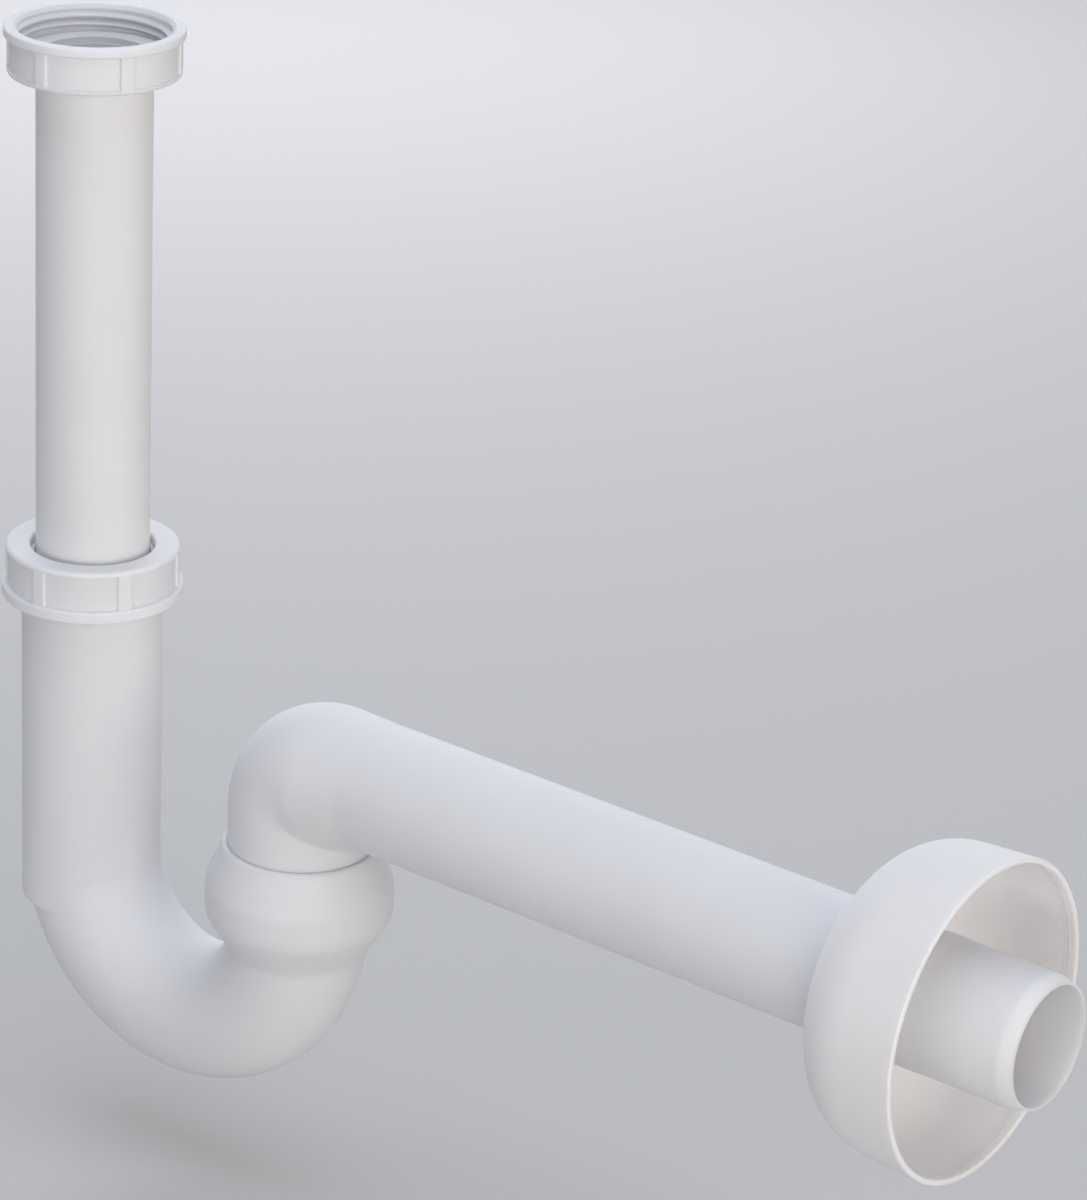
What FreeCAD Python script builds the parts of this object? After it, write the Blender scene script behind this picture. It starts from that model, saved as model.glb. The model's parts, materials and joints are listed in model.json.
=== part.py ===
import FreeCAD, Part
import Sketcher
import math
import os

# Waste trap with a telescoping inlet tube, a one-piece return bend, a swivelling outlet pipe and a wall rosette.
# Millimetres. The origin is on the inlet axis, in the plane where the inlet washer seals against the waste.
# +Z is up, and +X runs along the outlet pipe to the wall.

SIZES = [
    # inlet tube and its washer
    ("tube_radius", 16.0),
    ("tube_wall", 2.0),
    ("tube_length", 190.0),
    ("flange_width", 4.0),
    ("flange_thick", 1.6),
    ("gasket_thick", 1.8),
    # union nut on the waste
    ("thread_allowance", 0.955),
    ("thread_depth", 7.2),
    ("mouth_lead", 1.0),
    ("union_wall", 2.85),
    ("union_rim", 0.9),
    ("union_rim_thick", 2.6),
    ("union_floor", 2.6),
    # compression nut between tube and trap
    ("comp_wall", 2.2),
    ("comp_rim", 1.0),
    ("comp_rim_thick", 3.4),
    ("comp_height", 14.9),
    ("comp_floor", 2.6),
    ("comp_hole_gap", 1.5),
    ("comp_reach", 142.6),
    # grip panels of both nuts
    ("panel_depth", 0.8),
    ("panel_angle", 50.0),
    ("panel_border", 0.2),
    ("panel_count", 6),
    ("rib_bearing", -24.4),
    ("rib_round", 0.5),
    ("nut_round", 1.2),
    ("hole_round", 1.0),
    ("rim_round", 0.5),
    # seals
    ("slip_ring_thick", 1.6),
    ("slip_ring_width", 4.4),
    ("cone_seal_height", 8.0),
    ("cone_seal_width", 3.5),
    ("cone_seal_foot", 1.9),
    ("cone_seal_proud", 1.6),
    ("seal_lip_height", 3.0),
    # trap body
    ("bore_gap", 1.5),
    ("bend_wall", 2.0),
    ("sleeve_wall", 2.5),
    ("head_thread", 2.0),
    ("head_length", 7.0),
    ("sleeve_skirt", 16.7),
    ("sleeve_step", 4.0),
    ("sleeve_round", 3.0),
    ("leg_spacing", 80.0),
    ("trap_drop", 92.0),
    # outlet socket of the trap body
    ("socket_wall", 2.5),
    ("socket_lip", 1.4),
    ("lip_round", 0.8),
    ("socket_rise", 25.0),
    ("socket_shoulder", 11.5),
    ("socket_foot", 3.8),
    ("socket_taper", 10.6),
    ("waist_swell", 0.1),
    ("waist_tuck", 5.0),
    ("waist_draw", 1.5),
    ("socket_stop", 0.8),
    ("socket_round", 10.0),
    ("seal_width", 3.9),
    ("chamber_drop", 8.6),
    ("chamber_height", 10.0),
    # outlet elbow and wall pipe
    ("spigot_step", 2.5),
    ("spigot_length", 23.5),
    ("elbow_swell", 0.4),
    ("elbow_sweep", 11.3),
    ("reducer_length", 16.0),
    ("pipe_radius", 18.0),
    ("pipe_wall", 2.0),
    ("pipe_rise", 50.2),
    ("pipe_reach", 243.4),
    ("end_shrink", 0.2),
    ("end_length", 30.0),
    ("end_taper", 1.5),
    ("bevel_length", 4.0),
    ("bevel_depth", 1.2),
    # wall rosette
    ("rosette_radius", 42.8),
    ("rosette_draft", 2.0),
    ("rosette_depth", 35.5),
    ("rosette_wall", 1.6),
    ("rosette_shoulder", 20.0),
    ("rosette_setback", 18.4),
    ("rosette_hub", 3.2),
    ("rosette_edge", 0.5),
    ("ridge_height", 0.3),
    ("ridge_width", 0.9),
    ("ridge_pitch", 2.6),
    ("ridge_count", 4),
    # clearances
    ("loose_gap", 0.4),
    ("swivel_gap", 0.3),
    ("running_gap", 0.05),
]

# How near an edge's measured place must be to the one asked for
EDGE_MATCH = 0.02

doc = FreeCAD.newDocument("WasteTrap")
sheet = doc.addObject("Spreadsheet::Sheet", "dims")
for row, (alias, value) in enumerate(SIZES, start=1):
    sheet.set(f"A{row}", alias)
    sheet.set(f"B{row}", str(value))
    sheet.setAlias(f"B{row}", alias)
doc.recompute()


def size(expression):
    """The value of an expression of sheet sizes, as a number."""
    found = sheet.evalExpression(expression)
    return float(getattr(found, "Value", found))


# Radii round the inlet axis, each from the tube outwards
TUBE_BORE = "(dims.tube_radius - dims.tube_wall)"
FLANGE_R = "(dims.tube_radius + dims.flange_width)"
THREAD_R = f"({FLANGE_R} + dims.thread_allowance)"
UNION_R = f"({THREAD_R} + dims.union_wall)"
UNION_RIM_R = f"({UNION_R} + dims.union_rim)"
RING_R = "(dims.tube_radius + dims.slip_ring_width)"
SEAL_R = "(dims.tube_radius + dims.cone_seal_width)"
SEAL_FOOT_R = "(dims.tube_radius + dims.cone_seal_foot)"
BORE_R = "(dims.tube_radius + dims.bore_gap)"
BEND_R = f"({BORE_R} + dims.bend_wall)"
SLEEVE_R = f"({BORE_R} + dims.sleeve_wall)"
HEAD_R = f"({SLEEVE_R} + dims.head_thread)"
COMP_MOUTH_R = f"({HEAD_R} + dims.loose_gap)"
COMP_R = f"({COMP_MOUTH_R} + dims.comp_wall)"
COMP_RIM_R = f"({COMP_R} + dims.comp_rim)"
COMP_HOLE_R = "(dims.tube_radius + dims.comp_hole_gap)"

# Radii round the outlet leg
SPIGOT_R = f"({BORE_R} + dims.spigot_step)"
SPIGOT_BORE = f"({SPIGOT_R} - dims.pipe_wall)"
SOCKET_BORE = f"({SPIGOT_R} + dims.swivel_gap)"
SOCKET_LIP_R = f"({SOCKET_BORE} + dims.socket_lip)"
CHAMBER_R = f"({SPIGOT_R} + dims.seal_width)"
SOCKET_R = f"({CHAMBER_R} + dims.socket_wall)"
ELBOW_R = f"({SPIGOT_R} + dims.elbow_swell)"
WAIST_R = f"({BEND_R} + dims.waist_swell)"
TUCK_R = f"({BEND_R} - dims.waist_draw)"

# Radii round the wall pipe
PIPE_BORE = "(dims.pipe_radius - dims.pipe_wall)"
END_R = "(dims.pipe_radius - dims.end_shrink)"
HUB_BORE = "(dims.pipe_radius + dims.swivel_gap)"
HUB_R = f"({HUB_BORE} + dims.rosette_wall)"
BACK_R = "(dims.rosette_radius - dims.rosette_draft)"
SHOULDER_ROUND = f"min(dims.rosette_shoulder; {BACK_R} - {HUB_R} - dims.loose_gap)"

# Levels along the inlet axis
GASKET_FOOT = "(-dims.gasket_thick)"
FLANGE_FOOT = f"({GASKET_FOOT} - dims.flange_thick)"
UNION_FOOT = f"({FLANGE_FOOT} - dims.union_floor)"
TUBE_FOOT = f"({GASKET_FOOT} - dims.tube_length)"
COMP_TOP = "(-dims.comp_reach)"
COMP_CEILING = f"({COMP_TOP} - dims.comp_floor)"
COMP_FOOT = f"({COMP_TOP} - dims.comp_height)"
RING_FOOT = f"({COMP_CEILING} - dims.slip_ring_thick)"
SEAL_FOOT = f"({RING_FOOT} - dims.cone_seal_height)"
SLEEVE_TOP = f"({RING_FOOT} - dims.cone_seal_proud)"
HEAD_FOOT = f"({SLEEVE_TOP} - dims.head_length)"
BEND_Z = f"({COMP_TOP} - dims.trap_drop)"
SLEEVE_FOOT = f"({BEND_Z} - dims.sleeve_skirt)"
SLEEVE_STEP_FOOT = f"({SLEEVE_FOOT} - dims.sleeve_step)"

# Levels along the outlet leg
SOCKET_TOP = f"({BEND_Z} + dims.socket_rise)"
SOCKET_SHOULDER_Z = f"({SOCKET_TOP} - dims.socket_shoulder)"
SOCKET_FOOT_Z = f"({BEND_Z} + dims.socket_foot)"
SOCKET_STOP_Z = f"({BEND_Z} + dims.socket_stop)"
WAIST_Z = f"({SOCKET_FOOT_Z} - dims.socket_taper)"
TUCK_Z = f"({WAIST_Z} - dims.waist_tuck)"
CHAMBER_TOP = f"({SOCKET_TOP} - dims.chamber_drop)"
CHAMBER_FOOT = f"({CHAMBER_TOP} - dims.chamber_height)"
SPIGOT_FOOT = f"({SOCKET_TOP} - dims.spigot_length)"

# Places of the outlet elbow and pipe
LEG_X = "dims.leg_spacing"
TURN_R = "(dims.leg_spacing / 2)"
PIPE_Z = f"({BEND_Z} + dims.pipe_rise)"
ELBOW_Z = f"({PIPE_Z} + dims.pipe_radius - {ELBOW_R})"
PIVOT_X = "(dims.leg_spacing + dims.elbow_sweep)"
PIVOT_Z = f"({ELBOW_Z} - dims.elbow_sweep)"
REDUCER_X = f"({PIVOT_X} + dims.reducer_length)"
PIPE_END_X = "(dims.leg_spacing + dims.pipe_reach)"
END_START_X = f"({PIPE_END_X} - dims.end_length)"
ROSETTE_RIM_X = f"({PIPE_END_X} - dims.rosette_setback)"
ROSETTE_HUB_X = f"({ROSETTE_RIM_X} - dims.rosette_depth)"


def new_body(name):
    """An empty body with its name as its label."""
    body = doc.addObject("PartDesign::Body", name)
    body.Label = name
    return body


def origin_feature(body, role):
    """The body's own origin plane or axis of that role."""
    return next(item for item in body.Origin.OriginFeatures if item.Role == role)


def new_sketch(body, name, plane, offset=None):
    """A sketch on one of the body's origin planes, moved along its normal by an expression."""
    sketch = body.newObject("Sketcher::SketchObject", name)
    sketch.AttachmentSupport = [(origin_feature(body, plane), "")]
    sketch.MapMode = "FlatFace"
    if offset:
        sketch.setExpression("AttachmentOffset.Base.z", offset)
    return sketch


def hold(sketch, kind, geometry, point, expression):
    """Hold a point's distance from the sketch's origin to an expression, or hold it on an axis."""
    if expression == "0":
        axis = -2 if kind == "DistanceX" else -1
        sketch.addConstraint(Sketcher.Constraint("PointOnObject", geometry, point, axis))
        return
    value = size(expression)
    index = sketch.addConstraint(Sketcher.Constraint(kind, -1, 1, geometry, point, value))
    sketch.setExpression(f"Constraints[{index}]", expression)


def add_polygon(sketch, corners):
    """Close a polygon through corners given as pairs of expressions."""
    places = [FreeCAD.Vector(size(x), size(y), 0) for x, y in corners]
    first = sketch.GeometryCount
    count = len(corners)
    for index in range(count):
        sketch.addGeometry(Part.LineSegment(places[index], places[(index + 1) % count]), False)
    for index in range(count):
        following = first + (index + 1) % count
        sketch.addConstraint(Sketcher.Constraint("Coincident", first + index, 2, following, 1))
    for index, (x, y) in enumerate(corners):
        hold(sketch, "DistanceX", first + index, 1, x)
        hold(sketch, "DistanceY", first + index, 1, y)


def add_circle(sketch, x, y, radius):
    """A circle from expressions of its centre and radius."""
    centre = FreeCAD.Vector(size(x), size(y), 0)
    circle = Part.Circle(centre, FreeCAD.Vector(0, 0, 1), size(radius))
    index = sketch.addGeometry(circle, False)
    hold(sketch, "DistanceX", index, 3, x)
    hold(sketch, "DistanceY", index, 3, y)
    held = sketch.addConstraint(Sketcher.Constraint("Radius", index, size(radius)))
    sketch.setExpression(f"Constraints[{held}]", radius)


def turn_profile(body, name, corners, cut=False, x="0", z="0"):
    """Revolve a polygon of (radius, height) corners about the vertical axis through x, z."""
    sketch = new_sketch(body, f"{name}_profile", "XZ_Plane")
    sketch.setExpression("AttachmentOffset.Base.x", x)
    sketch.setExpression("AttachmentOffset.Base.y", z)
    add_polygon(sketch, corners)
    kind = "PartDesign::Groove" if cut else "PartDesign::Revolution"
    feature = body.newObject(kind, name)
    feature.Profile = sketch
    feature.ReferenceAxis = (sketch, ["V_Axis"])
    feature.Angle = 360.0
    doc.recompute()
    return feature


def turn_along(body, name, corners, cut=False, z="0"):
    """Revolve a polygon of (x, radius) corners about the horizontal axis at height z."""
    sketch = new_sketch(body, f"{name}_profile", "XZ_Plane")
    sketch.setExpression("AttachmentOffset.Base.y", z)
    add_polygon(sketch, corners)
    kind = "PartDesign::Groove" if cut else "PartDesign::Revolution"
    feature = body.newObject(kind, name)
    feature.Profile = sketch
    feature.ReferenceAxis = (sketch, ["H_Axis"])
    feature.Angle = 360.0
    doc.recompute()
    return feature


def add_fillet(body, base, name, wanted, radius):
    """Fillet the edges of base whose numbers are listed."""
    fillet = body.newObject("PartDesign::Fillet", name)
    fillet.Base = (base, [f"Edge{number}" for number in wanted])
    fillet.setExpression("Radius", radius)
    body.Tip = fillet
    doc.recompute()
    return fillet


def round_rings(body, base, name, rings, radius):
    """Fillet the circular edges of base, listed as (axis, radius, place along the axis) in expressions."""
    wanted = []
    for number, edge in enumerate(base.Shape.Edges, start=1):
        curve = edge.Curve
        if not isinstance(curve, Part.Circle):
            continue
        for axis, ring_radius, place in rings:
            near_radius = abs(curve.Radius - size(ring_radius)) < EDGE_MATCH
            near_place = abs(getattr(curve.Center, axis) - size(place)) < EDGE_MATCH
            if near_radius and near_place:
                wanted.append(number)
    return add_fillet(body, base, name, wanted, radius)


def round_ribs(body, base, radius, low, high):
    """Fillet the upright edges that the grip panels leave along a nut's ribs."""
    wanted = []
    for number, edge in enumerate(base.Shape.Edges, start=1):
        ends = [vertex.Point for vertex in edge.Vertexes]
        reaches = [math.hypot(end.x, end.y) for end in ends]
        on_wall = all(abs(reach - size(radius)) < EDGE_MATCH for reach in reaches)
        spans = sorted(end.z for end in ends)
        upright = abs(spans[0] - size(low)) < EDGE_MATCH and abs(spans[-1] - size(high)) < EDGE_MATCH
        if on_wall and upright:
            wanted.append(number)
    return add_fillet(body, base, "rib_rounds", wanted, "dims.rib_round")


def cut_panels(body, base, radius, low, high):
    """Sink shallow grip panels into a nut's wall, and repeat them round it with ribs left between."""
    sketch = new_sketch(body, "panel_profile", "XZ_Plane")
    floor = f"({radius} - dims.panel_depth)"
    clear = f"({radius} + dims.panel_depth)"
    add_polygon(sketch, [(floor, low), (clear, low), (clear, high), (floor, high)])
    panel = body.newObject("PartDesign::Groove", "panel")
    panel.Profile = sketch
    panel.ReferenceAxis = (sketch, ["V_Axis"])
    panel.setExpression("Angle", "dims.panel_angle")
    panel.Midplane = True
    doc.recompute()
    ring = body.newObject("PartDesign::PolarPattern", "panels")
    ring.Originals = [panel]
    ring.Axis = (sketch, ["V_Axis"])
    ring.Angle = 360.0
    ring.setExpression("Occurrences", "dims.panel_count")
    body.Tip = ring
    doc.recompute()
    return ring


def build_inlet_tube():
    """Straight tube with a moulded flange at its top end."""
    body = new_body("inlet_tube")
    turn_profile(body, "tube", [
        (TUBE_BORE, GASKET_FOOT),
        (TUBE_BORE, TUBE_FOOT),
        ("(dims.tube_radius - dims.tube_wall / 4)", TUBE_FOOT),
        ("dims.tube_radius", f"({TUBE_FOOT} + dims.tube_wall)"),
        ("dims.tube_radius", FLANGE_FOOT),
        (FLANGE_R, FLANGE_FOOT),
        (FLANGE_R, GASKET_FOOT),
    ])
    return body


def build_gasket():
    """Flat washer on the flange, which seals against the waste."""
    body = new_body("inlet_gasket")
    inner = f"({TUBE_BORE} + dims.loose_gap)"
    turn_profile(body, "washer", [
        (inner, GASKET_FOOT),
        (FLANGE_R, GASKET_FOOT),
        (FLANGE_R, "0"),
        (inner, "0"),
    ])
    return body


def build_union_nut():
    """Nut that draws the flange up to the waste, mouth upwards. Its bore is plain at the thread's radius."""
    body = new_body("inlet_union_nut")
    seat = f"({FLANGE_R} + dims.loose_gap)"
    hole = "(dims.tube_radius + dims.loose_gap)"
    rim_foot = "(dims.thread_depth - dims.union_rim_thick)"
    ring = turn_profile(body, "ring", [
        (hole, UNION_FOOT),
        (UNION_R, UNION_FOOT),
        (UNION_R, rim_foot),
        (UNION_RIM_R, rim_foot),
        (UNION_RIM_R, "dims.thread_depth"),
        (f"({THREAD_R} + dims.mouth_lead)", "dims.thread_depth"),
        (THREAD_R, "(dims.thread_depth - dims.mouth_lead)"),
        (THREAD_R, "0"),
        (seat, "0"),
        (seat, FLANGE_FOOT),
        (hole, FLANGE_FOOT),
    ])
    low = f"({UNION_FOOT} + dims.nut_round + dims.panel_border)"
    panels = cut_panels(body, ring, UNION_R, low, rim_foot)
    ribs = round_ribs(body, panels, UNION_R, low, rim_foot)
    foot = round_rings(body, ribs, "foot_round", [("z", UNION_R, UNION_FOOT)], "dims.nut_round")
    rim = [("z", UNION_RIM_R, rim_foot), ("z", UNION_RIM_R, "dims.thread_depth")]
    round_rings(body, foot, "rim_rounds", rim, "dims.rim_round")
    body.Placement = turned_to_ribs()
    return body


def build_compression_nut():
    """Nut that presses the slip ring down on the tapered seal, mouth downwards."""
    body = new_body("compression_nut")
    rim_top = f"({COMP_FOOT} + dims.comp_rim_thick)"
    ring = turn_profile(body, "ring", [
        (COMP_HOLE_R, COMP_CEILING),
        (COMP_MOUTH_R, COMP_CEILING),
        (COMP_MOUTH_R, COMP_FOOT),
        (COMP_RIM_R, COMP_FOOT),
        (COMP_RIM_R, rim_top),
        (COMP_R, rim_top),
        (COMP_R, COMP_TOP),
        (COMP_HOLE_R, COMP_TOP),
    ])
    high = f"({COMP_TOP} - dims.nut_round - dims.panel_border)"
    panels = cut_panels(body, ring, COMP_R, rim_top, high)
    ribs = round_ribs(body, panels, COMP_R, rim_top, high)
    crown = round_rings(body, ribs, "crown_round", [("z", COMP_R, COMP_TOP)], "dims.nut_round")
    rim = [("z", COMP_RIM_R, COMP_FOOT), ("z", COMP_RIM_R, rim_top)]
    rounded = round_rings(body, crown, "rim_rounds", rim, "dims.rim_round")
    round_rings(body, rounded, "hole_round", [("z", COMP_HOLE_R, COMP_TOP)], "dims.hole_round")
    body.Placement = turned_to_ribs()
    return body


def turned_to_ribs():
    """The placement that brings a rib of either nut to the ribs' bearing round the inlet axis."""
    half_step = 180.0 / size("dims.panel_count")
    turn = FreeCAD.Rotation(FreeCAD.Vector(0, 0, 1), size("dims.rib_bearing") + half_step)
    return FreeCAD.Placement(FreeCAD.Vector(0, 0, 0), turn)


def build_slip_ring():
    """Thin ring that lets the nut turn without dragging the seal."""
    body = new_body("slip_ring")
    inner = "(dims.tube_radius + dims.loose_gap)"
    turn_profile(body, "ring", [
        (inner, RING_FOOT),
        (RING_R, RING_FOOT),
        (RING_R, COMP_CEILING),
        (inner, COMP_CEILING),
    ])
    return body


def build_cone_seal():
    """Tapered seal between the tube and the coned mouth of the sleeve."""
    body = new_body("cone_seal")
    inner = "(dims.tube_radius + dims.running_gap)"
    turn_profile(body, "wedge", [
        (inner, SEAL_FOOT),
        (SEAL_FOOT_R, SEAL_FOOT),
        (SEAL_R, RING_FOOT),
        (inner, RING_FOOT),
    ])
    return body


def build_u_bend():
    """Trap body: threaded head, long sleeve, return bend and swollen outlet socket, in one moulding."""
    body = new_body("u_bend")
    body.AllowCompound = True
    sleeve = turn_profile(body, "sleeve", [
        ("0", SLEEVE_STEP_FOOT),
        (f"({SLEEVE_R} - dims.sleeve_step)", SLEEVE_STEP_FOOT),
        (SLEEVE_R, SLEEVE_FOOT),
        (SLEEVE_R, f"({HEAD_FOOT} - dims.head_thread)"),
        (HEAD_R, HEAD_FOOT),
        (HEAD_R, SLEEVE_TOP),
        ("0", SLEEVE_TOP),
    ])
    round_rings(body, sleeve, "sleeve_round", [("z", SLEEVE_R, SLEEVE_FOOT)], "dims.sleeve_round")
    socket = turn_profile(body, "socket", [
        ("0", TUCK_Z),
        (TUCK_R, TUCK_Z),
        (WAIST_R, WAIST_Z),
        (SOCKET_R, SOCKET_FOOT_Z),
        (SOCKET_R, SOCKET_SHOULDER_Z),
        (SOCKET_LIP_R, SOCKET_TOP),
        ("0", SOCKET_TOP),
    ], x=LEG_X)
    rings = [("z", SOCKET_R, SOCKET_SHOULDER_Z), ("z", SOCKET_R, SOCKET_FOOT_Z)]
    rounded = round_rings(body, socket, "socket_rounds", rings, "dims.socket_round")
    round_rings(body, rounded, "lip_round", [("z", SOCKET_LIP_R, SOCKET_TOP)], "dims.lip_round")
    spine = new_sketch(body, "bend_line", "XZ_Plane")
    add_bend_line(spine)
    outer = new_sketch(body, "bend_outer_ring", "XY_Plane", SEAL_FOOT)
    add_circle(outer, "0", "0", BEND_R)
    bend = body.newObject("PartDesign::AdditivePipe", "bend")
    bend.Profile = outer
    bend.Spine = spine
    doc.recompute()
    inner = new_sketch(body, "bend_bore_ring", "XY_Plane", SEAL_FOOT)
    add_circle(inner, "0", "0", BORE_R)
    bore = body.newObject("PartDesign::SubtractivePipe", "bend_bore")
    bore.Profile = inner
    bore.Spine = spine
    doc.recompute()
    turn_profile(body, "seal_seat", [
        ("0", SEAL_FOOT),
        (f"({SEAL_FOOT_R} + dims.running_gap)", SEAL_FOOT),
        (f"({SEAL_R} + dims.running_gap)", RING_FOOT),
        ("0", RING_FOOT),
    ], cut=True)
    turn_profile(body, "socket_bore", [
        ("0", SOCKET_STOP_Z),
        (SOCKET_BORE, SOCKET_STOP_Z),
        (SOCKET_BORE, CHAMBER_FOOT),
        (CHAMBER_R, CHAMBER_FOOT),
        (CHAMBER_R, CHAMBER_TOP),
        (SOCKET_BORE, CHAMBER_TOP),
        (SOCKET_BORE, f"({SOCKET_TOP} + dims.socket_shoulder)"),
        ("0", f"({SOCKET_TOP} + dims.socket_shoulder)"),
    ], cut=True, x=LEG_X)
    return body


def add_bend_line(sketch):
    """The middle line of the return bend: down the inlet leg, round the half circle and up the outlet leg."""
    top = FreeCAD.Vector(0, size(SEAL_FOOT), 0)
    left = FreeCAD.Vector(0, size(BEND_Z), 0)
    right = FreeCAD.Vector(size(LEG_X), size(BEND_Z), 0)
    rise = FreeCAD.Vector(size(LEG_X), size(SOCKET_FOOT_Z), 0)
    middle = FreeCAD.Vector(size(TURN_R), size(BEND_Z), 0)
    half_circle = Part.ArcOfCircle(
        Part.Circle(middle, FreeCAD.Vector(0, 0, 1), size(TURN_R)), math.pi, 2 * math.pi
    )
    sketch.addGeometry(Part.LineSegment(top, left), False)
    sketch.addGeometry(half_circle, False)
    sketch.addGeometry(Part.LineSegment(right, rise), False)
    sketch.addConstraint(Sketcher.Constraint("Coincident", 0, 2, 1, 1))
    sketch.addConstraint(Sketcher.Constraint("Coincident", 1, 2, 2, 1))
    hold(sketch, "DistanceX", 0, 1, "0")
    hold(sketch, "DistanceY", 0, 1, SEAL_FOOT)
    hold(sketch, "DistanceX", 0, 2, "0")
    hold(sketch, "DistanceY", 0, 2, BEND_Z)
    hold(sketch, "DistanceX", 1, 3, TURN_R)
    hold(sketch, "DistanceY", 1, 3, BEND_Z)
    hold(sketch, "DistanceY", 2, 1, BEND_Z)
    hold(sketch, "DistanceX", 2, 2, LEG_X)
    hold(sketch, "DistanceY", 2, 2, SOCKET_FOOT_Z)


def build_socket_seal():
    """Lip seal in the outlet socket's chamber: a broad ring with a lip that meets the spigot."""
    body = new_body("socket_seal")
    outer = f"({CHAMBER_R} - dims.running_gap)"
    lip = f"({SPIGOT_R} + dims.running_gap)"
    back = f"({SPIGOT_R} + dims.seal_width / 2)"
    lip_foot = f"({CHAMBER_TOP} - dims.seal_lip_height)"
    turn_profile(body, "lip_ring", [
        (back, CHAMBER_FOOT),
        (outer, CHAMBER_FOOT),
        (outer, CHAMBER_TOP),
        (lip, CHAMBER_TOP),
        (lip, lip_foot),
        (back, f"({lip_foot} - dims.seal_lip_height)"),
    ], x=LEG_X)
    return body


def add_elbow_wedge(body, name, radius, cut=False):
    """A quarter turn of the elbow: the part of a circle outside the pivot line, revolved about that line."""
    sketch = new_sketch(body, f"{name}_profile", "XY_Plane", PIVOT_Z)
    sketch.setExpression("AttachmentOffset.Base.x", PIVOT_X)
    reach = math.acos(size("dims.elbow_sweep") / size(radius))
    centre = FreeCAD.Vector(-size("dims.elbow_sweep"), 0, 0)
    circle = Part.Circle(centre, FreeCAD.Vector(0, 0, 1), size(radius))
    arc = sketch.addGeometry(Part.ArcOfCircle(circle, reach, 2 * math.pi - reach), False)
    half_chord = size(radius) * math.sin(reach)
    upper = FreeCAD.Vector(0, half_chord, 0)
    lower = FreeCAD.Vector(0, -half_chord, 0)
    chord = sketch.addGeometry(Part.LineSegment(lower, upper), False)
    sketch.addConstraint(Sketcher.Constraint("Coincident", arc, 2, chord, 1))
    sketch.addConstraint(Sketcher.Constraint("Coincident", chord, 2, arc, 1))
    sketch.addConstraint(Sketcher.Constraint("PointOnObject", arc, 1, -2))
    sketch.addConstraint(Sketcher.Constraint("PointOnObject", arc, 2, -2))
    hold(sketch, "DistanceX", arc, 3, "(-dims.elbow_sweep)")
    hold(sketch, "DistanceY", arc, 3, "0")
    held = sketch.addConstraint(Sketcher.Constraint("Radius", arc, size(radius)))
    sketch.setExpression(f"Constraints[{held}]", radius)
    kind = "PartDesign::Groove" if cut else "PartDesign::Revolution"
    feature = body.newObject(kind, name)
    feature.Profile = sketch
    feature.ReferenceAxis = (sketch, ["V_Axis"])
    feature.Angle = 90.0
    doc.recompute()
    return feature


def add_reducer(body, name, elbow_radius, pipe_radius, cut=False):
    """The skewed cone that brings the elbow down to the pipe, flush along its top."""
    start = new_sketch(body, f"{name}_start", "YZ_Plane", PIVOT_X)
    add_circle(start, "0", ELBOW_Z, elbow_radius)
    finish = new_sketch(body, f"{name}_finish", "YZ_Plane", REDUCER_X)
    add_circle(finish, "0", PIPE_Z, pipe_radius)
    kind = "PartDesign::SubtractiveLoft" if cut else "PartDesign::AdditiveLoft"
    feature = body.newObject(kind, name)
    feature.Profile = start
    feature.Sections = [finish]
    doc.recompute()
    return feature


def build_outlet_pipe():
    """Elbow with its spigot, reducer and straight wall pipe, in one moulding."""
    body = new_body("outlet_pipe")
    bevel_x = f"({PIPE_END_X} - dims.bevel_length)"
    bevelled = f"({END_R} - dims.bevel_depth)"
    beyond = f"({PIPE_END_X} + dims.bevel_length)"
    turn_profile(body, "spigot", [
        ("0", SPIGOT_FOOT),
        (f"({SPIGOT_R} - dims.pipe_wall / 2)", SPIGOT_FOOT),
        (SPIGOT_R, f"({SPIGOT_FOOT} + dims.pipe_wall)"),
        (SPIGOT_R, SOCKET_TOP),
        (ELBOW_R, SOCKET_TOP),
        (ELBOW_R, PIVOT_Z),
        ("0", PIVOT_Z),
    ], x=LEG_X)
    add_elbow_wedge(body, "elbow", ELBOW_R)
    add_reducer(body, "reducer", ELBOW_R, "dims.pipe_radius")
    turn_along(body, "pipe", [
        (REDUCER_X, "0"),
        (REDUCER_X, "dims.pipe_radius"),
        (f"({END_START_X} - dims.end_taper)", "dims.pipe_radius"),
        (END_START_X, END_R),
        (bevel_x, END_R),
        (PIPE_END_X, bevelled),
        (PIPE_END_X, "0"),
    ], z=PIPE_Z)
    turn_profile(body, "spigot_bore", [
        ("0", f"({SPIGOT_FOOT} - dims.pipe_wall)"),
        (SPIGOT_BORE, f"({SPIGOT_FOOT} - dims.pipe_wall)"),
        (SPIGOT_BORE, PIVOT_Z),
        ("0", PIVOT_Z),
    ], cut=True, x=LEG_X)
    add_elbow_wedge(body, "elbow_bore", SPIGOT_BORE, cut=True)
    add_reducer(body, "reducer_bore", SPIGOT_BORE, PIPE_BORE, cut=True)
    turn_along(body, "pipe_bore", [
        (REDUCER_X, "0"),
        (REDUCER_X, PIPE_BORE),
        (beyond, PIPE_BORE),
        (beyond, "0"),
    ], cut=True, z=PIPE_Z)
    return body


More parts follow.
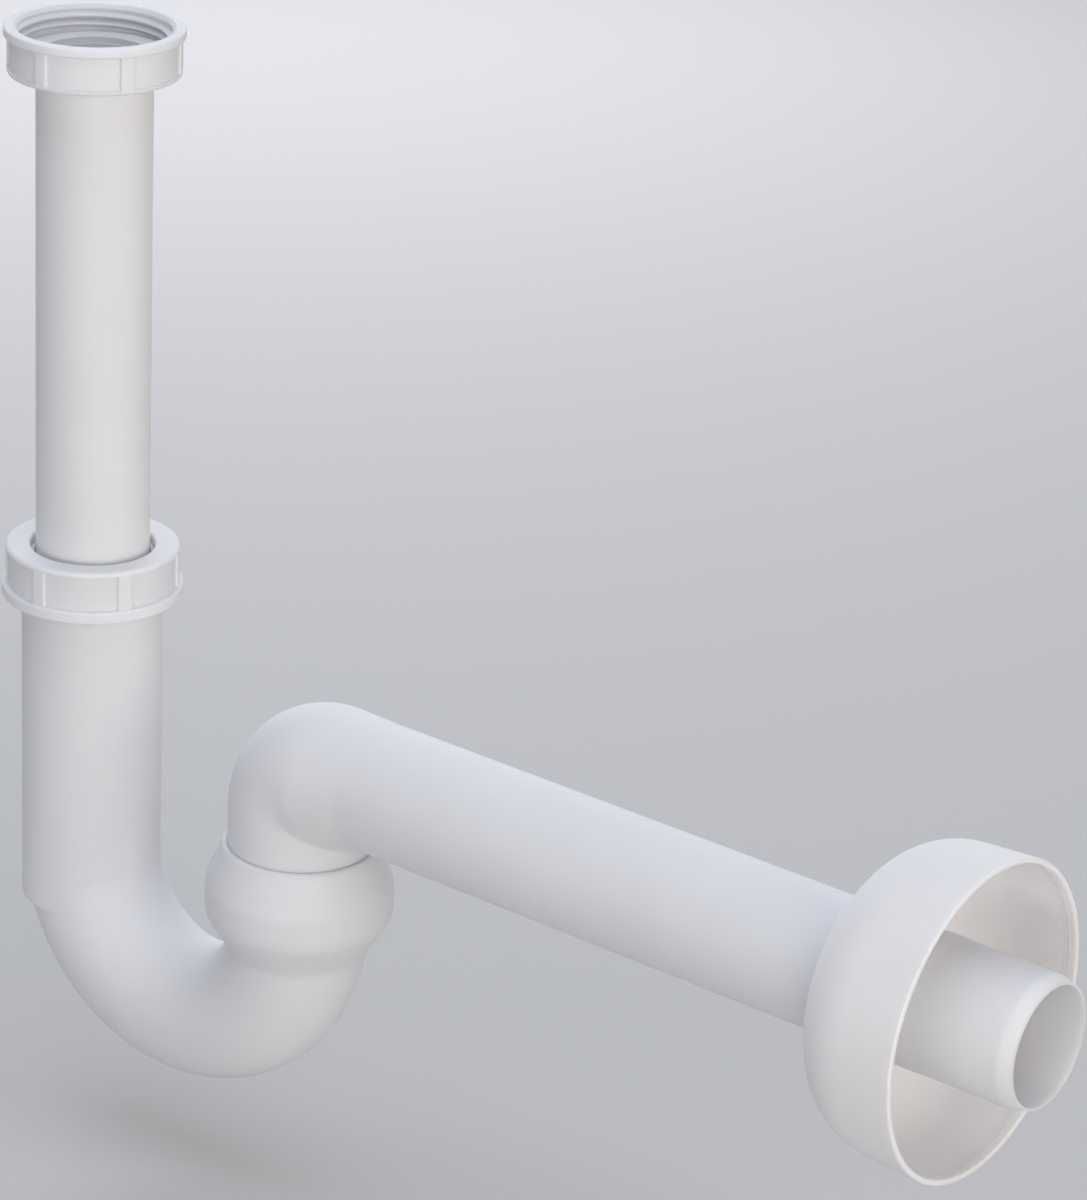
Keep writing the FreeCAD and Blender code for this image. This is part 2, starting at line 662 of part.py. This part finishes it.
def build_rosette():
    """Deep bell that slides along the pipe, with fine ridges inside its rim."""
    body = new_body("wall_rosette")
    hub_end = f"({ROSETTE_HUB_X} + dims.rosette_hub)"
    inner_rim = "(dims.rosette_radius - dims.rosette_wall)"
    inner_back = f"({BACK_R} - dims.rosette_wall)"
    inner_back_x = f"({ROSETTE_HUB_X} + dims.rosette_wall)"
    bell = turn_along(body, "bell", [
        (ROSETTE_HUB_X, HUB_BORE),
        (ROSETTE_HUB_X, BACK_R),
        (ROSETTE_RIM_X, "dims.rosette_radius"),
        (ROSETTE_RIM_X, inner_rim),
        (inner_back_x, inner_back),
        (inner_back_x, HUB_R),
        (hub_end, HUB_R),
        (hub_end, HUB_BORE),
    ], z=PIPE_Z)
    shoulder = round_rings(body, bell, "outer_shoulder", [("x", BACK_R, ROSETTE_HUB_X)], SHOULDER_ROUND)
    inner_round = f"{SHOULDER_ROUND} - dims.rosette_wall"
    shell = round_rings(body, shoulder, "inner_shoulder", [("x", inner_back, inner_back_x)], inner_round)
    rim = [("x", "dims.rosette_radius", ROSETTE_RIM_X), ("x", inner_rim, ROSETTE_RIM_X)]
    round_rings(body, shell, "rim_rounds", rim, "dims.rosette_edge")
    crest = f"({inner_rim} - dims.ridge_height)"
    root = "(dims.rosette_radius - dims.rosette_wall / 2)"
    ridge_end = f"({ROSETTE_RIM_X} - dims.ridge_pitch)"
    ridge_start = f"({ridge_end} - dims.ridge_width)"
    ridge = turn_along(body, "ridge", [
        (ridge_start, crest),
        (ridge_end, crest),
        (ridge_end, root),
        (ridge_start, root),
    ], z=PIPE_Z)
    ridges = body.newObject("PartDesign::LinearPattern", "ridges")
    ridges.Originals = [ridge]
    ridges.Direction = (origin_feature(body, "X_Axis"), [""])
    ridges.Reversed = True
    ridges.setExpression("Length", "dims.ridge_pitch * (dims.ridge_count - 1)")
    ridges.setExpression("Occurrences", "dims.ridge_count")
    body.Tip = ridges
    doc.recompute()
    return body


bodies = [
    build_union_nut(),
    build_gasket(),
    build_inlet_tube(),
    build_compression_nut(),
    build_slip_ring(),
    build_cone_seal(),
    build_u_bend(),
    build_socket_seal(),
    build_outlet_pipe(),
    build_rosette(),
]
doc.recompute()

for item in doc.Objects:
    if "Invalid" in item.State or "Error" in item.State:
        raise RuntimeError(f"{item.Label} failed: {item.State}")

os.makedirs("parts", exist_ok=True)
for body in bodies:
    shape = body.Shape
    if shape.isNull() or not shape.isValid():
        raise RuntimeError(f"{body.Label} has no valid shape")
    shape.exportStep(f"parts/{body.Label}.step")
    print(f"{body.Label}: {len(shape.Solids)} solid, {shape.Volume / 1000:.2f} cm3")
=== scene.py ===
import json
import math

import bpy
from mathutils import Matrix, Vector


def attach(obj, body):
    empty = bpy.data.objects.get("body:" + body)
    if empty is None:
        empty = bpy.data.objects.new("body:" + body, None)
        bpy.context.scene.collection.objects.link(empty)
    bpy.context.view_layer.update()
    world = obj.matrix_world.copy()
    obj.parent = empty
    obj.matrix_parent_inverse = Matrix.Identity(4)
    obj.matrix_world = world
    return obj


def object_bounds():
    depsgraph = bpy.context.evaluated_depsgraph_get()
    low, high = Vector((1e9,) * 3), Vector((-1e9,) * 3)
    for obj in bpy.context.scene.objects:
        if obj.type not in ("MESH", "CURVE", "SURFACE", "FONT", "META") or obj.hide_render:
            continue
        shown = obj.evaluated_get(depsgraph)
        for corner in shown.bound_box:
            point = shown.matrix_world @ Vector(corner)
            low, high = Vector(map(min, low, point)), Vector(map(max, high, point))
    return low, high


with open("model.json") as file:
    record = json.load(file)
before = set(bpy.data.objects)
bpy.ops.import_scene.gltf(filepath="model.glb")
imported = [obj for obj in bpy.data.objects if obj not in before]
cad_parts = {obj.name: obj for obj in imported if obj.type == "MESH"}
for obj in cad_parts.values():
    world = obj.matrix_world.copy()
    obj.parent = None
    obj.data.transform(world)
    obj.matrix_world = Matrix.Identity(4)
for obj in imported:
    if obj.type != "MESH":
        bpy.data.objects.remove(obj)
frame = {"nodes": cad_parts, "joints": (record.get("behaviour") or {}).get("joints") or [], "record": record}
cad_box = [list(corner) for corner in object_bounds()]
mounts = {mount["name"]: mount for mount in frame["record"]["mounts"]}
joints = {joint["name"]: joint for joint in frame["joints"]}

MM = 0.001

# The photograph's view: azimuth, elevation and roll of the camera, and its place from the union nut's mouth
AZIMUTH = math.radians(37.467)
ELEVATION = math.radians(22.646)
ROLL = math.radians(2.666)
LENS_MM = 133.98
SENSOR_MM = 36.0
SIDE_SHIFT = 120.689 * MM
UP_SHIFT = -154.713 * MM
STAND_OFF = 1202.0 * MM
MOUTH_Z = cad_box[1][2]
NEAREST_SEEN = 0.01
FARTHEST_SEEN = 50

# Softboxes: name, place, width, height, power, colour, and whether gloss shows them
AIM = (0.14, 0, -0.15)
SOFTBOXES = (
    ("overhead", (0.15, -0.15, 1.2), 1.6, 1.2, 8.6, (0.78, 0.88, 1.0), True),
    ("right_front", (1.5, -1.0, 0.3), 1.0, 1.4, 8.4, (1.0, 0.94, 0.80), True),
    ("low_front", (0.7, -1.3, -0.15), 1.6, 0.3, 4.9, (1, 1, 1), True),
    ("wall_side", (1.5, 0.1, 0.1), 1.0, 0.8, 4.9, (1.0, 0.93, 0.84), True),
    ("back_left", (-0.9, 1.0, 0.5), 1.2, 1.0, 14.5, (0.96, 0.97, 1.0), False),
)
SURROUND = (0.27, 0.266, 0.283)
PALE = (0.86, 0.86, 0.87)

# The floor: its reach from the middle, how far it lies below the trap, and its paint
FLOOR_REACH = 6.0
FLOOR_DROP = 30 * MM
FLOOR_SEEN = (0.56, 0.56, 0.565)
FLOOR_BOUNCE = (0.45, 0.45, 0.45)
FLOOR_ROUGHNESS = 0.9
FLOOR_SHINE = 0.1

# The mix node's sockets for colours, which share their names with those for numbers
MIX_FIRST = 6
MIX_SECOND = 7
MIX_RESULT = 2

# What all the plastics and the rubber share: cloudiness, gloss, skin, painted shade in nooks, rounding and
# inner glow
CLOUD_SCALE = 28
CLOUD_DETAIL = 4
CLOUD_EDGES = (0.3, 0.7)
CLOUD_TINTS = (0.975, 1.015)
GLOSS_BELOW = 0.05
GLOSS_ABOVE = 0.06
SKIN_SCALE = 900
SKIN_DETAIL = 3
SKIN_DEPTH = 0.1 * MM
# Painted shade in nooks: how far it looks for near walls, and the occlusion at which it is darkest
GROOVE_SHADE_REACH = 1.2 * MM
GROOVE_SHADE_DEEPEST = 0.4
SEAM_ROUNDING = 2 * MM
RAYS_A_POINT = 8
REFRACTION = 1.49
GLOW_REACH = (4.0 * MM, 3.6 * MM, 3.2 * MM)

# The finishes. The joint's skin has no glow, and a darker colour matches it to the pipe.
DRAWN_ALONG_X = (0.3, 1, 1)
DRAWN_ALONG_Z = (1, 1, 0.03)
FINISH_SETTINGS = {
    "nut_plastic": dict(colour=(0.80, 0.80, 0.83), roughness=0.44, skin=0.14),
    "tube_plastic": dict(colour=(0.80, 0.80, 0.82), roughness=0.44, skin=0.10, stretch=DRAWN_ALONG_Z),
    "trap_plastic": dict(colour=(0.79, 0.79, 0.82), roughness=0.46, skin=0.14, soften=SEAM_ROUNDING),
    "pipe_plastic": dict(
        colour=(0.80, 0.80, 0.83), roughness=0.44, skin=0.12, stretch=DRAWN_ALONG_X, soften=SEAM_ROUNDING,
    ),
    "joint_plastic": dict(
        colour=(0.79, 0.79, 0.82), roughness=0.44, skin=0.12, stretch=DRAWN_ALONG_X, glow=0.0,
    ),
    # The rosette's colour carries painted shade in its grooves.
    "rosette_plastic": dict(colour=(0.82, 0.81, 0.83), roughness=0.42, skin=0.10, glow=0.7, groove_shade=0.35),
    "ring_plastic": dict(colour=(0.78, 0.78, 0.80), roughness=0.55, skin=0.10),
    "seal_rubber": dict(colour=(0.74, 0.75, 0.77), roughness=0.70, skin=0.25, glow=0.1, shine=0.3),
}

# Threads: steps in a turn, points across a ridge, how a ridge sits on its wall, and its run-out
THREAD_STEPS = 120
THREAD_POINTS = 12
THREAD_PROUD = 0.03 * MM
THREAD_BURIED = 0.10 * MM
THREAD_ROOT = 0.35 * MM
RUN_OUT = math.radians(50)
SHARP_EDGE = math.radians(50)

# The union nut's thread stands inwards from its bore, and the one on the trap's head outwards
UNION_WALL = mounts["inlet_union"]["dims"]["r_mm"] * MM
UNION_DEPTH = 1.4 * MM
UNION_PITCH = 2.309 * MM
UNION_SPAN = (0.1 * MM, 6.3 * MM)
HEAD_WALL = 22.0 * MM
HEAD_DEPTH = -0.3 * MM
HEAD_PITCH = 3.0 * MM
HEAD_SPAN = (-155.2 * MM, -148.6 * MM)

# The elbow turns about the chord at its inner corner. The reducer after it narrows from below.
ELBOW_RADIUS = 20.4 * MM
PIPE_RADIUS = 18.0 * MM
PIPE_TOP_Z = mounts["wall_spigot"]["pos_m"][2] + PIPE_RADIUS
CHORD_REACH = 11.3 * MM
CHORD_X = joints["outlet_swivel"]["pos_m"][0] + CHORD_REACH
CHORD_Z = PIPE_TOP_Z - ELBOW_RADIUS - CHORD_REACH
REDUCER_LENGTH = 16.0 * MM
REDUCER_SLOPE = (ELBOW_RADIUS - PIPE_RADIUS) / REDUCER_LENGTH

# The skin over the joint of elbow and reducer: where it lies round the pipe, its size and its mesh
JOINT_FROM = math.radians(56.6)
JOINT_TO = math.radians(76)
JOINT_REACH = 1.5 * MM
JOINT_PROUD = 0.08 * MM
JOINT_BURIED = 0.03 * MM
JOINT_ROOT = 0.6 * MM
JOINT_ROWS = 32
JOINT_COLUMNS = 24
FADE_POWER = 4
HAIR = 0.015 * MM
WIDEST_TURN = math.radians(80)


def aim_camera():
    """The camera of the photograph: tilted down, with a small roll and no shift."""
    back = Vector((
        math.sin(AZIMUTH) * math.cos(ELEVATION),
        -math.cos(AZIMUTH) * math.cos(ELEVATION),
        math.sin(ELEVATION),
    ))
    level = Vector((math.cos(AZIMUTH), math.sin(AZIMUTH), 0))
    upright = back.cross(level)
    right = math.cos(ROLL) * level + math.sin(ROLL) * upright
    up = math.cos(ROLL) * upright - math.sin(ROLL) * level
    place = SIDE_SHIFT * right + UP_SHIFT * up + STAND_OFF * back
    place.z += MOUTH_Z
    data = bpy.data.cameras.new("camera")
    data.lens = LENS_MM
    data.sensor_width = SENSOR_MM
    data.clip_start = NEAREST_SEEN
    data.clip_end = FARTHEST_SEEN
    camera = bpy.data.objects.new("camera", data)
    bpy.context.scene.collection.objects.link(camera)
    turn = Matrix((right, up, back)).transposed().to_4x4()
    camera.matrix_world = Matrix.Translation(place) @ turn
    bpy.context.scene.camera = camera


def new_material(name):
    """An empty material: itself, its nodes, its links and its shader."""
    material = bpy.data.materials.new(name)
    material.use_nodes = True
    nodes = material.node_tree.nodes
    nodes.clear()
    shader = nodes.new("ShaderNodeBsdfPrincipled")
    output = nodes.new("ShaderNodeOutputMaterial")
    material.node_tree.links.new(shader.outputs["BSDF"], output.inputs["Surface"])
    return material, nodes, material.node_tree.links, shader


def add_noise(nodes, links, scale, detail, stretch=(1, 1, 1)):
    """Noise in the object's own space, stretched along its axes."""
    place = nodes.new("ShaderNodeTexCoord")
    mapping = nodes.new("ShaderNodeMapping")
    mapping.inputs["Scale"].default_value = stretch
    noise = nodes.new("ShaderNodeTexNoise")
    noise.inputs["Scale"].default_value = scale
    noise.inputs["Detail"].default_value = detail
    links.new(place.outputs["Object"], mapping.inputs["Vector"])
    links.new(mapping.outputs["Vector"], noise.inputs["Vector"])
    return noise.outputs["Fac"]


def paint_groove_shade(nodes, links, colour, groove_shade):
    """Painted shade: the colour, darkened by the given share where walls stand close."""
    occlusion = nodes.new("ShaderNodeAmbientOcclusion")
    occlusion.samples = RAYS_A_POINT
    occlusion.only_local = True
    occlusion.inputs["Distance"].default_value = GROOVE_SHADE_REACH
    depth = nodes.new("ShaderNodeMapRange")
    depth.inputs["From Min"].default_value = GROOVE_SHADE_DEEPEST
    depth.inputs["To Min"].default_value = 1 - groove_shade
    depth.inputs["To Max"].default_value = 1
    links.new(occlusion.outputs["AO"], depth.inputs["Value"])
    shaded = nodes.new("ShaderNodeVectorMath")
    shaded.operation = "SCALE"
    links.new(colour, shaded.inputs[0])
    links.new(depth.outputs["Result"], shaded.inputs["Scale"])
    return shaded.outputs["Vector"]


def surface(name, colour, roughness, skin, stretch=(1, 1, 1), glow=0.4, shine=0.35, soften=0.0, groove_shade=0.0):
    """Plastic or rubber: a faint cloudiness, an uneven gloss and a fine skin, which stretch draws out.

    Glow is the share of light that passes under the surface, soften the radius that rounds shallow seams,
    and the last setting the strength of the painted shade that darkens the plastic in its grooves.
    """
    material, nodes, links, shader = new_material(name)
    cloud = add_noise(nodes, links, CLOUD_SCALE, CLOUD_DETAIL)
    tint = nodes.new("ShaderNodeValToRGB")
    for element, edge, strength in zip(tint.color_ramp.elements, CLOUD_EDGES, CLOUD_TINTS):
        element.position = edge
        element.color = [min(1, part * strength) for part in colour] + [1]
    links.new(cloud, tint.inputs["Fac"])
    tinted = tint.outputs["Color"]
    # Painted shade: the base colour darkens in grooves, where nearby walls occlude the surface.
    if groove_shade:
        tinted = paint_groove_shade(nodes, links, tinted, groove_shade)
    links.new(tinted, shader.inputs["Base Color"])
    gloss = nodes.new("ShaderNodeMapRange")
    gloss.inputs["To Min"].default_value = roughness - GLOSS_BELOW
    gloss.inputs["To Max"].default_value = roughness + GLOSS_ABOVE
    links.new(cloud, gloss.inputs["Value"])
    links.new(gloss.outputs["Result"], shader.inputs["Roughness"])
    bump = nodes.new("ShaderNodeBump")
    bump.inputs["Strength"].default_value = skin
    bump.inputs["Distance"].default_value = SKIN_DEPTH
    links.new(add_noise(nodes, links, SKIN_SCALE, SKIN_DETAIL, stretch), bump.inputs["Height"])
    if soften:
        bevel = nodes.new("ShaderNodeBevel")
        bevel.samples = RAYS_A_POINT
        bevel.inputs["Radius"].default_value = soften
        links.new(bevel.outputs["Normal"], bump.inputs["Normal"])
    links.new(bump.outputs["Normal"], shader.inputs["Normal"])
    shader.inputs["IOR"].default_value = REFRACTION
    shader.inputs["Specular IOR Level"].default_value = shine
    shader.inputs["Subsurface Weight"].default_value = glow
    shader.inputs["Subsurface Radius"].default_value = GLOW_REACH
    shader.inputs["Subsurface Scale"].default_value = 1.0
    return material


FINISHES = {name: surface(name, **settings) for name, settings in FINISH_SETTINGS.items()}


def finish_nodes():
    """Give each node of the frame the finish of its material slot."""
    for part in frame["record"]["subparts"]:
        shown = frame["nodes"][part["node"]]
        if not shown.material_slots:
            shown.data.materials.append(None)
        for slot in shown.material_slots:
            slot.material = FINISHES[part["material_slot"]]


def place_piece(name, mesh, body, finish):
    """Put a mesh in the scene as a piece that rides on a body, in one of the finishes."""
    mesh.materials.append(FINISHES[finish])
    piece = bpy.data.objects.new(name, mesh)
    bpy.context.scene.collection.objects.link(piece)
    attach(piece, body)


def add_thread(name, body, slot, wall, depth, pitch, low, high):
    """A rounded helical thread about the inlet axis, on a round wall. A depth above zero stands inwards."""
    way = -1 if depth > 0 else 1
    back = wall - way * THREAD_ROOT
    sweep = 2 * math.pi * (high - low - pitch) / pitch
    count = math.ceil(THREAD_STEPS * sweep / (2 * math.pi))
    points = []
    for step in range(count + 1):
        angle = sweep * step / count
        rise = low + pitch * angle / (2 * math.pi)
        nearest = min(angle, sweep - angle, RUN_OUT) / RUN_OUT
        height = nearest * nearest * (3 - 2 * nearest)
        loop = []
        for part in range(THREAD_POINTS + 1):
            across = part / THREAD_POINTS
            wave = (1 - math.cos(2 * math.pi * across)) / 2
            reach = height * (THREAD_PROUD + abs(depth) * wave) - (1 - height) * THREAD_BURIED
            loop.append((wall + way * reach, rise + pitch * across))
        loop.append((back, rise + pitch))
        loop.append((back, rise))
        points += [(radius * math.cos(angle), radius * math.sin(angle), z) for radius, z in loop]
    ring = THREAD_POINTS + 3
    faces = []
    for step in range(count):
        here = step * ring
        there = here + ring
        for part in range(ring):
            following = (part + 1) % ring
            faces.append([here + part, there + part, there + following, here + following])
    faces.append(list(range(ring)))
    faces.append([count * ring + part for part in reversed(range(ring))])
    if depth > 0:
        faces = [face[::-1] for face in faces]
    mesh = bpy.data.meshes.new(name)
    mesh.from_pydata(points, [], faces)
    mesh.shade_smooth()
    mesh.set_sharp_from_angle(angle=SHARP_EDGE)
    place_piece(name, mesh, body, slot)


def elbow_face(angle, offset, side):
    """A place on the moulding beside the joint of elbow and reducer, and the direction that faces out of it.

    Angle goes round the pipe from its underside. Offset goes from the elbow, below zero, to the reducer.
    Side is -1 in front and 1 behind.
    """
    low = math.cos(angle)
    wide = side * math.sin(angle)
    if offset > 0:
        radius = ELBOW_RADIUS - REDUCER_SLOPE * offset
        place = Vector((CHORD_X + offset, radius * wide, PIPE_TOP_Z - radius * (1 + low)))
        return place, Vector((REDUCER_SLOPE * (1 + low), wide, -low)).normalized()
    arm = CHORD_REACH - ELBOW_RADIUS * low
    turn = min(-offset / arm, WIDEST_TURN)
    place = Vector((CHORD_X - arm * math.sin(turn), ELBOW_RADIUS * wide, CHORD_Z + arm * math.cos(turn)))
    return place, Vector((low * math.sin(turn), wide, -low * math.cos(turn)))


def add_joint_skin(name, side):
    """A thin skin that softens the joint of elbow and reducer where it runs into the inner corner."""
    tops = []
    normals = []
    for row in range(JOINT_ROWS + 1):
        along = row / JOINT_ROWS
        angle = JOINT_FROM + (JOINT_TO - JOINT_FROM) * along
        before = elbow_face(angle, -HAIR, side)[1]
        after = elbow_face(angle, HAIR, side)[1]
        for column in range(JOINT_COLUMNS + 1):
            across = 2 * column / JOINT_COLUMNS - 1
            place, outward = elbow_face(angle, across * JOINT_REACH, side)
            own, other = (after, before) if across > 0 else (before, after)
            outward = (outward + (other - own) * (1 - abs(across)) / 2).normalized()
            fade = (1 - abs(across) ** FADE_POWER) * (1 - max(0, 2 * along - 1) ** FADE_POWER)
            tops.append(place + outward * (fade * (JOINT_PROUD + JOINT_BURIED) - JOINT_BURIED))
            normals.append(outward)
    roots = [top - normal * JOINT_ROOT for top, normal in zip(tops, normals)]
    width = JOINT_COLUMNS + 1
    below = len(tops)
    faces = []
    for row in range(JOINT_ROWS):
        for column in range(JOINT_COLUMNS):
            here = row * width + column
            top = [here, here + 1, here + width + 1, here + width]
            faces.append(top)
            faces.append([below + corner for corner in reversed(top)])
    rim = list(range(width))
    rim += [row * width + JOINT_COLUMNS for row in range(1, JOINT_ROWS + 1)]
    rim += [JOINT_ROWS * width + column for column in reversed(range(JOINT_COLUMNS))]
    rim += [row * width for row in reversed(range(1, JOINT_ROWS))]
    for here, there in zip(rim, rim[1:] + rim[:1]):
        faces.append([there, here, below + here, below + there])
    if side > 0:
        faces = [face[::-1] for face in faces]
    mesh = bpy.data.meshes.new(name)
    mesh.from_pydata(tops + roots, [], faces)
    mesh.shade_smooth()
    mesh.normals_split_custom_set_from_vertices(normals + [-normal for normal in normals])
    place_piece(name, mesh, "outlet", "joint_plastic")


def make_floor():
    """A plain pale floor below the trap. Seen straight or in gloss it is paler than the light it bounces."""
    level = cad_box[0][2] - FLOOR_DROP
    mesh = bpy.data.meshes.new("floor")
    corners = [(x * FLOOR_REACH, y * FLOOR_REACH, level) for x, y in ((-1, -1), (1, -1), (1, 1), (-1, 1))]
    mesh.from_pydata(corners, [], [(0, 1, 2, 3)])
    floor = bpy.data.objects.new("floor", mesh)
    bpy.context.scene.collection.objects.link(floor)
    material, nodes, links, shader = new_material("floor_paint")
    links.new(seen_or_scattered(nodes, links, FLOOR_SEEN, FLOOR_BOUNCE), shader.inputs["Base Color"])
    shader.inputs["Roughness"].default_value = FLOOR_ROUGHNESS
    shader.inputs["Specular IOR Level"].default_value = FLOOR_SHINE
    mesh.materials.append(material)


def seen_or_scattered(nodes, links, seen_colour, scattered_colour):
    """One colour for camera, glossy and transmission rays, and another for light that surfaces scatter."""
    path = nodes.new("ShaderNodeLightPath")
    first = nodes.new("ShaderNodeMath")
    first.operation = "MAXIMUM"
    second = nodes.new("ShaderNodeMath")
    second.operation = "MAXIMUM"
    links.new(path.outputs["Is Camera Ray"], first.inputs[0])
    links.new(path.outputs["Is Glossy Ray"], first.inputs[1])
    links.new(first.outputs[0], second.inputs[0])
    links.new(path.outputs["Is Transmission Ray"], second.inputs[1])
    mix = nodes.new("ShaderNodeMix")
    mix.data_type = "RGBA"
    mix.inputs[MIX_FIRST].default_value = (*scattered_colour, 1)
    mix.inputs[MIX_SECOND].default_value = (*seen_colour, 1)
    links.new(second.outputs[0], mix.inputs["Factor"])
    return mix.outputs[MIX_RESULT]


def light_studio():
    """The softboxes, and an even surround that is seen paler than the light it gives."""
    for name, place, width, height, power, colour, in_gloss in SOFTBOXES:
        data = bpy.data.lights.new(name, "AREA")
        data.shape = "RECTANGLE"
        data.size = width
        data.size_y = height
        data.energy = power
        data.color = colour
        lamp = bpy.data.objects.new(name, data)
        bpy.context.scene.collection.objects.link(lamp)
        lamp.visible_camera = False
        lamp.visible_glossy = in_gloss
        lamp.location = place
        lamp.rotation_mode = "QUATERNION"
        lamp.rotation_quaternion = (Vector(AIM) - Vector(place)).to_track_quat("-Z", "Y")
    world = bpy.data.worlds.new("surround")
    bpy.context.scene.world = world
    world.use_nodes = True
    nodes = world.node_tree.nodes
    links = world.node_tree.links
    links.new(seen_or_scattered(nodes, links, PALE, SURROUND), nodes["Background"].inputs["Color"])


finish_nodes()
add_thread("union_thread", "union_nut", "nut_plastic", UNION_WALL, UNION_DEPTH, UNION_PITCH, *UNION_SPAN)
add_thread("head_thread", "trap", "trap_plastic", HEAD_WALL, HEAD_DEPTH, HEAD_PITCH, *HEAD_SPAN)
add_joint_skin("elbow_joint_front", -1)
add_joint_skin("elbow_joint_back", 1)
aim_camera()
make_floor()
light_studio()
bpy.context.scene.view_settings.view_transform = "Standard"
